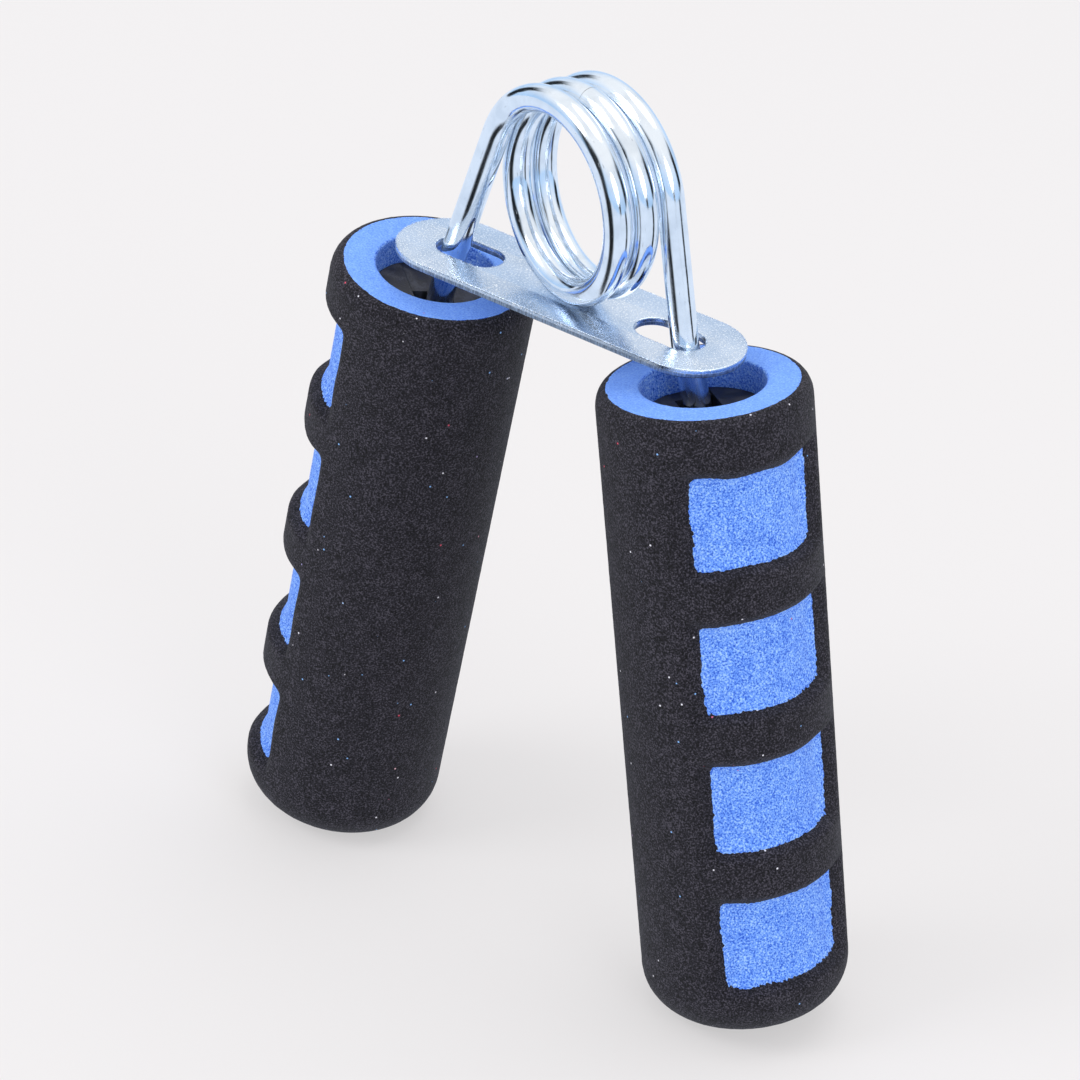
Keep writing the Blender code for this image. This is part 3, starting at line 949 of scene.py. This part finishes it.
@dataclass
class Handle:
    """One handle: a plastic core in a two-layer foam sleeve, with ground finger scoops."""

    side: Side
    end: Vector
    direction: Vector
    length: float = 111 * MM
    radius: float = 17.2 * MM
    bottom_round: float = 8 * MM
    top_round: float = 3.2 * MM
    wall: float = 1.75 * MM
    bore: float = 10 * MM
    bore_depth: float = 105 * MM
    scoops: int = 4
    scoop_first: float = 8.3 * MM
    scoop_pitch: float = 25 * MM
    scoop_floor: float = 14.3 * MM
    floor_half_angle: float = math.radians(40.2)
    rim_half_angle: float = math.radians(55.2)
    scoop_turn: float = math.radians(23.2)
    fine: float = 0.40 * MM
    coarse: float = 0.95 * MM
    margin: float = math.radians(8)
    lift_start: float = 15.0 * MM
    lift_slope: float = 0.42
    rim_start: float = 17.5 * MM
    rim_slope: float = 1.3
    grain: float = 0.9 * MM
    relief: float = 0.12 * MM
    merge: float = 0.0005 * MM
    filler_gap: float = 0.15 * MM
    filler_width: float = 6.1 * MM
    filler_far: float = 0.9 * MM
    filler_near: float = 6.5 * MM
    filler_levels: tuple[float, float] = (-13.8 * MM, -5.2 * MM)

    @property
    def matrix(self) -> Matrix:
        """Return the handle's frame: its origin is the centre of the top ring, -Z down the handle."""
        lean = math.atan2(self.direction.x, -self.direction.z)
        top = self.end - self.direction * self.length
        return Matrix.Translation(top) @ Matrix.Rotation(-lean, 4, "Y")

    @property
    def scoop_middle(self) -> float:
        """Return the angle round the handle at which the scoops are deepest."""
        return -self.scoop_turn if self.side is Side.RIGHT else math.pi + self.scoop_turn

    @property
    def liner_radius(self) -> float:
        """Return the radius at which the two foam layers meet."""
        return self.radius - self.wall

    def columns(self) -> np.ndarray:
        """Return angles round the sleeve, close together over the scoops."""
        half = self.rim_half_angle + self.margin
        inner = int(2 * half * self.radius / self.fine)
        outer = int((TAU - 2 * half) * self.radius / self.coarse)
        near = np.linspace(-half, half, inner, endpoint=False)
        far = np.linspace(half, TAU - half, outer, endpoint=False)
        return np.concatenate([near, far]) + self.scoop_middle

    def scooped(self, radius: np.ndarray, height: np.ndarray, angle: np.ndarray) -> np.ndarray:
        """Return the sleeve's radius after its finger scoops are ground in.

        Args:
            radius: radius of the plain sleeve at each point.
            height: height of each point in the handle's frame.
            angle: angle of each point round the handle.

        Returns:
            The radius at each point.
        """
        away = np.abs((angle - self.scoop_middle + math.pi) % TAU - math.pi)
        slope = (self.radius + 1 * MM - self.scoop_floor) / (self.rim_half_angle - self.floor_half_angle)
        wobble = 0.25 * MM * wavy(height, angle, 9 * MM, 3 + self.side.value)
        cheek = self.scoop_floor + (away - self.floor_half_angle) * slope + 0.5 * wobble
        result = radius.copy()
        for scoop in range(self.scoops):
            depth = -height - self.scoop_first - scoop * self.scoop_pitch + wobble
            upper = self.radius - depth
            lower = self.scoop_floor + np.maximum(depth - self.lift_start, 0) * self.lift_slope
            lower += np.maximum(depth - self.rim_start, 0) * self.rim_slope
            ground = smooth_max(np.full_like(radius, self.scoop_floor), upper, 1.0 * MM)
            ground = smooth_max(ground, lower, 0.9 * MM)
            ground = smooth_max(ground, cheek, 1.4 * MM)
            result = smooth_min(result, ground, 0.7 * MM)
        return result

    def meeting(self, height: np.ndarray, angle: np.ndarray) -> np.ndarray:
        """Return the slightly uneven radius at which the black layer meets the blue one."""
        fine = wavy(height, angle, 0.9 * MM, 11 + self.side.value)
        broad = wavy(height, angle, 5 * MM, 21 + self.side.value)
        return self.liner_radius - 0.10 * MM + 0.09 * MM * fine + 0.05 * MM * broad

    def side_rows(self) -> tuple[np.ndarray, np.ndarray]:
        """Return radius and height of the outer skin's rows, from the top ring to the bottom's centre."""
        inner = self.liner_radius
        lip = [
            (inner + self.wall * math.sin(a), self.top_round * (math.cos(a) - 1))
            for a in np.linspace(0, math.pi / 2, 12)
        ]
        low = self.bottom_round - self.length
        count = int((-self.top_round - low) / self.fine)
        straight = [(self.radius, z) for z in np.linspace(-self.top_round, low, count)[1:-1]]
        bend = self.radius - self.bottom_round
        curl = [
            (bend + self.bottom_round * math.cos(a), low - self.bottom_round * math.sin(a))
            for a in np.linspace(0, math.pi / 2, 18)
        ]
        disc = [(r, -self.length) for r in np.linspace(bend, 0, 10)[1:]]
        rows = np.array(lip + straight + curl + disc)
        return rows[:, 0], rows[:, 1]

    def place(self, radius: np.ndarray, height: np.ndarray, angle: np.ndarray) -> np.ndarray:
        """Turn cylinder coordinates in the handle's frame into points of the model."""
        local = np.stack([radius * np.cos(angle), radius * np.sin(angle), height], axis=-1).reshape(-1, 3)
        matrix = np.array(self.matrix)
        return local @ matrix[:3, :3].T + matrix[:3, 3]

    def build_cover(self, tree: Tree, material: Material) -> Object:
        """Make the black layer, open where the scoops have ground through it.

        Args:
            tree: the tree that roughens a foam skin.
            material: the black foam.

        Returns:
            The cover.
        """
        angles = self.columns()
        radii, heights = self.side_rows()
        angle, height = np.meshgrid(angles, heights)
        plain = np.repeat(radii[:, None], len(angles), axis=1)
        skin = self.scooped(plain, height, angle)
        inner = np.minimum(self.meeting(height, angle), plain)
        gone = skin < inner
        bend = self.radius - self.bottom_round
        low = self.bottom_round - self.length
        below = height < low
        share = (self.bottom_round - self.wall) / self.bottom_round
        inner = np.where(below, np.where(plain > bend, bend + (plain - bend) * share, plain), inner)
        inner_height = np.where(below, low + (height - low) * share, height)
        sunk = 2 * skin - inner - 0.03 * MM
        outer_radius = np.where(gone, sunk, np.where(below, skin, np.maximum(skin, inner + 0.02 * MM)))
        inner = np.where(gone, np.minimum(inner, sunk - 0.05 * MM), inner)
        rows, cols = angle.shape
        kept = ~gone
        keep = kept[:-1, :] | kept[1:, :]
        keep = keep | np.roll(keep, -1, axis=1)
        outer = self.place(outer_radius, height, angle)
        inner_points = self.place(inner, inner_height, angle)
        points = np.concatenate([outer, inner_points])
        shift = rows * cols
        faces: list[tuple[int, ...]] = []
        walls: list[tuple[int, ...]] = []
        for i in range(rows - 1):
            for j in range(cols):
                if not keep[i, j]:
                    continue
                ahead = (j + 1) % cols
                ring = (i * cols + j, (i + 1) * cols + j, (i + 1) * cols + ahead, i * cols + ahead)
                faces += [ring, tuple(shift + k for k in reversed(ring))]
                sides = (
                    (keep[i, j - 1], ring[0], ring[1]),
                    (keep[i, ahead], ring[2], ring[3]),
                    (i == rows - 2 or keep[i + 1, j], ring[1], ring[2]),
                    (i > 0 and keep[i - 1, j], ring[3], ring[0]),
                )
                walls += [(b, a, shift + a, shift + b) for joined, a, b in sides if not joined]
        return self.skin_object("foam_cover", points, faces + walls, tree, material)

    def build_liner(self, tree: Tree, material: Material) -> Object:
        """Make the blue layer: bore, flat top ring and the skin that shows in the scoops.

        Args:
            tree: the tree that roughens a foam skin.
            material: the blue foam.

        Returns:
            The liner.
        """
        angles = self.columns()
        radii, heights = self.side_rows()
        outside = heights < -self.top_round * 0.5
        low = self.bottom_round - self.length
        bend = self.radius - self.bottom_round
        rounding = self.bottom_round - self.wall
        outer = []
        for radius, height in zip(radii[outside], heights[outside]):
            if height > low:
                outer.append((self.liner_radius, height, 1.0))
            else:
                shrunk = bend + (radius - bend) * rounding / self.bottom_round if radius > bend else radius
                outer.append((shrunk, low - (low - height) * rounding / self.bottom_round, 0.0))
        bore = [(0.0, -self.bore_depth, 0.0), (self.bore, -self.bore_depth, 0.0)]
        bore += [(self.bore, z, 0.0) for z in np.linspace(-20 * MM, -0.5 * MM, 30)]
        lip = [
            (self.bore + 0.5 * MM * (1 - math.cos(a)), -0.5 * MM + 0.5 * MM * math.sin(a), 0.0)
            for a in np.linspace(0, math.pi / 2, 6)[1:]
        ]
        ring = [(r, 0.0, 0.0) for r in np.linspace(self.bore + 0.5 * MM, self.liner_radius - 0.06 * MM, 16)[1:]]
        drop = [(self.liner_radius - 0.03 * MM, z, 0.0) for z in (-0.4 * MM, -0.9 * MM)]
        rows = np.array(bore + lip + ring + drop + outer)
        angle, height = np.meshgrid(angles, rows[:, 1])
        plain = np.repeat(rows[:, :1], len(angles), axis=1)
        skinned = np.repeat(rows[:, 2:], len(angles), axis=1) > 0.5
        ground = self.scooped(np.full_like(plain, self.radius), height, angle)
        covered = self.meeting(height, angle) - 0.03 * MM
        radius = np.where(skinned, np.minimum(ground, covered), plain)
        points = self.place(radius, height, angle)
        count, cols = angle.shape
        faces = []
        for i in range(count - 1):
            for j in range(cols):
                ahead = (j + 1) % cols
                faces.append((i * cols + j, i * cols + ahead, (i + 1) * cols + ahead, (i + 1) * cols + j))
        return self.skin_object("foam_liner", points, faces, tree, material)

    def skin_object(
        self,
        part: str,
        points: np.ndarray,
        faces: list[tuple[int, ...]],
        tree: Tree,
        material: Material,
    ) -> Object:
        """Turn a layer's points into a closed, roughened piece that rides on the handle.

        Args:
            part: the layer's name, as in its node's name.
            points: the layer's points.
            faces: its faces.
            tree: the tree that roughens a foam skin.
            material: the foam.

        Returns:
            The piece.
        """
        node = f"{self.side.word}_{part}"
        mesh = mesh_from(node, points, faces)
        bm = bmesh.new()
        bm.from_mesh(mesh)
        bmesh.ops.remove_doubles(bm, verts=bm.verts, dist=self.merge)
        loose = [vert for vert in bm.verts if not vert.link_faces]
        bmesh.ops.delete(bm, geom=loose, context="VERTS")
        bmesh.ops.recalc_face_normals(bm, faces=bm.faces)
        bm.to_mesh(mesh)
        bm.free()
        mesh.shade_smooth()
        seed = 4.0 + self.side.value
        values = {"Grain": self.grain, "Relief": self.relief, "Seed": seed, "Material": material}
        piece = grow(add_object(node + "_skin", mesh), tree, values, node + "_skin")
        piece.data.shade_smooth()
        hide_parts(node)
        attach(piece, self.side.body)
        LOG.info("handle: %s, %d faces", piece.name, len(piece.data.polygons))
        return piece

    def dress_core(self, material: Material) -> None:
        """Give the core's two half shells their plastic.

        Args:
            material: the plastic.
        """
        for half in ("front", "rear"):
            core = frame["nodes"][f"{self.side.word}_core_{half}"]
            core.data.materials.clear()
            core.data.materials.append(material)
            LOG.info("core: %s", core.name)

    def build_fillers(self, material: Material) -> Object:
        """Fill the trench across the core at its two ends, clear of the leg between them.

        Args:
            material: the plastic.

        Returns:
            The fillers, as one piece.
        """
        radius = self.bore - self.filler_gap
        half = self.filler_width / 2
        swing = math.asin(half / radius)
        arc = [(radius * math.cos(t), radius * math.sin(t)) for t in np.linspace(-swing, swing, 9)]
        points: list[tuple[float, float, float]] = []
        faces: list[list[int]] = []
        for start, sign in ((self.filler_far, self.side.value), (self.filler_near, -self.side.value)):
            outline = [(start, -half), *arc, (start, half)]
            first, count = len(points), len(outline)
            for level in self.filler_levels:
                points += [(sign * x, y, level) for x, y in outline]
            faces += [list(range(first, first + count)), list(range(first + count, first + 2 * count))]
            for k in range(count):
                after = (k + 1) % count
                faces.append([first + k, first + after, first + count + after, first + count + k])
        mesh = mesh_from(f"{self.side.word}_core_fillers", np.array(points), faces)
        mesh.transform(self.matrix @ Matrix.Rotation(SEAM_TURN, 4, "Z"))
        mesh.shade_flat()
        mesh.materials.append(material)
        fillers = add_object(mesh.name, mesh)
        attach(fillers, self.side.body)
        LOG.info("core: %s", fillers.name)
        return fillers


# ---------------------------------------------------------------- the studio


@dataclass
class Studio:
    """Pale floor, soft light and the camera."""

    plate_top: float
    azimuth: float = math.radians(34.93)
    elevation: float = math.radians(30.04)
    roll: float = math.radians(3.04)
    distance: float = 0.6997
    lens: float = 141.2
    aim_x: float = -3.01 * MM
    aim_drop: float = 46.82 * MM
    floor_half: float = 3.0
    sky_low: Colour = (0.50, 0.72, 1.0)
    sky_high: Colour = (1.0, 1.0, 1.0)
    sky_plain: Colour = (0.84, 0.84, 0.85)
    sky_gaps: Gaps = ((-1.9, 0.34), (-0.35, 0.12), (0.8, 0.22), (2.95, 0.2))

    def build(self) -> None:
        """Make the floor, the lights, the sky and the camera."""
        self.make_floor()
        self.make_sky()
        self.make_lights()
        self.make_camera()

    def make_floor(self) -> None:
        """Make a wide pale floor."""
        bm = bmesh.new()
        bmesh.ops.create_grid(bm, x_segments=8, y_segments=8, size=self.floor_half)
        mesh = bpy.data.meshes.new("floor")
        bm.to_mesh(mesh)
        bm.free()
        mesh.materials.append(FloorFinish().material())
        floor = add_object("floor", mesh)

    def make_sky(self) -> None:
        """Make an even pale surround, with dark gaps between its soft boxes seen only in reflections."""
        world = bpy.data.worlds.new("studio")
        bpy.context.scene.world = world
        world.use_nodes = True
        tree = world.node_tree
        tree.nodes.clear()
        nodes = NodeBuilder(tree)
        path = nodes.add("ShaderNodeLightPath")
        way = nodes.add("ShaderNodeSeparateXYZ", {0: nodes.add("ShaderNodeTexCoord").outputs["Generated"]})
        bearing = nodes.maths("ARCTAN2", way.outputs["Y"], way.outputs["X"])
        tint = nodes.mix(nodes.spread(way.outputs["Z"], -0.1, 0.75, 0, 1), self.sky_low, self.sky_high)
        dark = studio_gaps(nodes, bearing, self.sky_gaps)
        shade = nodes.maths("MAXIMUM", dark, nodes.spread(way.outputs["Z"], 0.35, 0.6, 0, 1))
        glossy = nodes.mix(1.0, tint, shade, "MULTIPLY")
        colour = nodes.mix(path.outputs["Is Glossy Ray"], self.sky_plain, glossy)
        background = nodes.add("ShaderNodeBackground", {"Color": colour, "Strength": 1.0})
        out = nodes.add("ShaderNodeOutputWorld")
        tree.links.new(background.outputs[0], out.inputs["Surface"])

    def make_lights(self) -> None:
        """Place a large key light on the left, a fill on the right and one overhead."""
        lights = (
            ("key", (-0.9, -1.1, 1.3), 0.9, 10.0),
            ("fill", (1.3, -0.6, 0.7), 0.8, 5.0),
            ("top", (0.1, 0.5, 1.6), 1.2, 6.0),
        )
        for name, place, size, power in lights:
            light = bpy.data.lights.new(name, "AREA")
            light.shape = "DISK"
            light.size = size
            light.energy = power
            lamp = bpy.data.objects.new(name, light)
            lamp.location = place
            aim = Vector((0, 0, self.plate_top / 2)) - Vector(place)
            lamp.rotation_euler = aim.to_track_quat("-Z", "Y").to_euler()
            bpy.context.scene.collection.objects.link(lamp)

    def make_camera(self) -> None:
        """Make the camera, a little rolled, and use it."""
        level = math.cos(self.elevation)
        ahead, aside = math.cos(self.azimuth) * level, math.sin(self.azimuth) * level
        back = Vector((aside, -ahead, math.sin(self.elevation)))
        right = Vector((0, 0, 1)).cross(back).normalized()
        up = back.cross(right)
        rolled_right = right * math.cos(self.roll) + up * math.sin(self.roll)
        rolled_up = up * math.cos(self.roll) - right * math.sin(self.roll)
        aim = Vector((self.aim_x, 0, self.plate_top - self.aim_drop))
        camera = bpy.data.cameras.new("camera")
        camera.lens = self.lens
        camera.sensor_width = 36
        camera.clip_start = 0.01
        holder = bpy.data.objects.new("camera", camera)
        turn = Matrix((rolled_right, rolled_up, back)).transposed()
        holder.matrix_world = Matrix.Translation(aim + back * self.distance) @ turn.to_4x4()
        bpy.context.scene.collection.objects.link(holder)
        bpy.context.scene.camera = holder
        bpy.context.scene.view_settings.view_transform = "Standard"


# ---------------------------------------------------------------- putting it together


def main() -> None:
    """Build every piece in order."""
    joints = {joint["name"]: joint for joint in frame["joints"]}
    mounts = {mount["name"]: mount for mount in frame["record"]["mounts"]}
    low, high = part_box("bridge_plate")
    level = Vector(mounts["plate_top"]["axis"])
    plate = Plate((low + high) / 2, math.atan2(level.x, level.z), high.y - low.y)
    black = FoamFinish(
        name="black_foam",
        deep=(0.002, 0.002, 0.003),
        middle=(0.0135, 0.0125, 0.0195),
        light=(0.065, 0.061, 0.082),
        speck=(0.8, 0.8, 0.9),
    )
    blue = FoamFinish(
        name="blue_foam",
        deep=(0.025, 0.11, 0.66),
        middle=(0.14, 0.33, 0.96),
        light=(0.38, 0.62, 1.0),
        speck=(0.3, 0.5, 0.95),
        relief=0.06 * MM,
        cut_share=0.65,
    )
    black_foam, blue_foam = black.material(), blue.material()
    plastic = PlasticFinish().material()
    relief = relief_tree()
    handles = {}
    for side in Side:
        mount = mounts[f"{side.word}_handle_end"]
        handle = Handle(side, Vector(mount["pos_m"]), Vector(mount["axis"]))
        handle.build_cover(relief, black_foam)
        handle.build_liner(relief, blue_foam)
        handle.dress_core(plastic)
        handle.build_fillers(plastic)
        handles[side] = handle
    centre = Vector(joints["right_squeeze"]["pos_m"])
    spring = Spring(centre, plate, handles)
    spring.build(wire_tree(), spring.finish.material())
    sheet = SheetFinish(plate.middle, plate.tilt, plate.thickness)
    plate.build(sheet.material(), crumb_tree())
    Studio(plate.middle.z + plate.thickness / 2).build()


if __name__ == "__main__":
    main()
